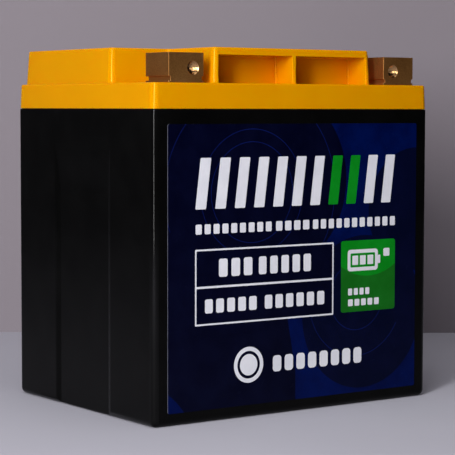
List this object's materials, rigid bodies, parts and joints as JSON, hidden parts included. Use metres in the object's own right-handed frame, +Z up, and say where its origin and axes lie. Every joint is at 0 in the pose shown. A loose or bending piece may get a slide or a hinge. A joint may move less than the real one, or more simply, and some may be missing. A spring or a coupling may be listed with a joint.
{
  "type": "motorcycle battery",
  "caption": "Sealed motorcycle starter battery: black box case, amber stepped lid, brass terminal blocks with threaded holes in the front corners, printed front label.",
  "frame": {"origin": "centre of the footprint, on the surface the battery stands on", "axes": "+Z up; the label and the terminals' front holes face -Y; the negative terminal is at -X and the positive at +X"},
  "size_m": [0.166, 0.1262, 0.175],
  "materials": {
    "case_plastic": "moulded black plastic, semi-gloss with a fine moulded grain",
    "lid_plastic": "moulded amber-yellow plastic, semi-gloss",
    "label_film": "printed film with a gloss laminate, navy with plain shapes",
    "terminal_brass": "dull brown cast brass, machined faces",
    "steel": "zinc-plated",
    "copper": "bare copper, stamped and bent",
    "plated_copper": "nickel-plated copper, stamped",
    "cell_can": "nickel-plated steel can",
    "cell_sleeve": "shrink sleeve",
    "holder_plastic": "moulded, matte",
    "fibre_paper": "insulating fibre sheet",
    "foam": "closed-cell foam",
    "seal_rubber": "black elastomer",
    "circuit_board": "green solder mask",
    "chip_plastic": "moulded epoxy",
    "connector_plastic": "moulded nylon",
    "standoff_nylon": "moulded nylon",
    "wire_insulation": "extruded insulation"
  },
  "bodies": {
    "root": {"case_body": "case_plastic", "lid": "lid_plastic", "lid_adhesive_bead": "seal_rubber", "front_label": "label_film", "terminal_negative": "terminal_brass", "terminal_positive": "terminal_brass", "terminal_seals": "seal_rubber", "terminal_screws": "steel", "terminal_washers": "steel", "negative_strap": "copper", "positive_strap": "copper", "negative_busbar": "plated_copper", "center_busbar": "plated_copper", "positive_busbar": "plated_copper", "left_link_busbar": "plated_copper", "right_link_busbar": "plated_copper", "lower_cell_holder": "holder_plastic", "upper_cell_holder": "holder_plastic", "cell_sleeves": "cell_sleeve", "cell_cap_rings": "fibre_paper", "base_pad": "foam", "side_pads": "foam", "front_pad": "foam", "rear_pad": "foam", "top_front_pad": "foam", "top_rear_pads": "foam", "lower_insulator": "fibre_paper", "upper_insulator": "fibre_paper", "balance_board": "circuit_board", "board_chips": "chip_plastic", "bleed_resistors": "chip_plastic", "board_header": "connector_plastic", "harness_plug": "connector_plastic", "balance_harness": "wire_insulation", "board_standoffs": "standoff_nylon", "board_screws": "steel", "cell_1": "cell_can", "cell_2": "cell_can", "cell_3": "cell_can", "cell_4": "cell_can", "cell_5": "cell_can", "cell_6": "cell_can", "cell_7": "cell_can", "cell_8": "cell_can", "cell_9": "cell_can", "cell_10": "cell_can", "cell_11": "cell_can", "cell_12": "cell_can"}
  },
  "joints": []
}
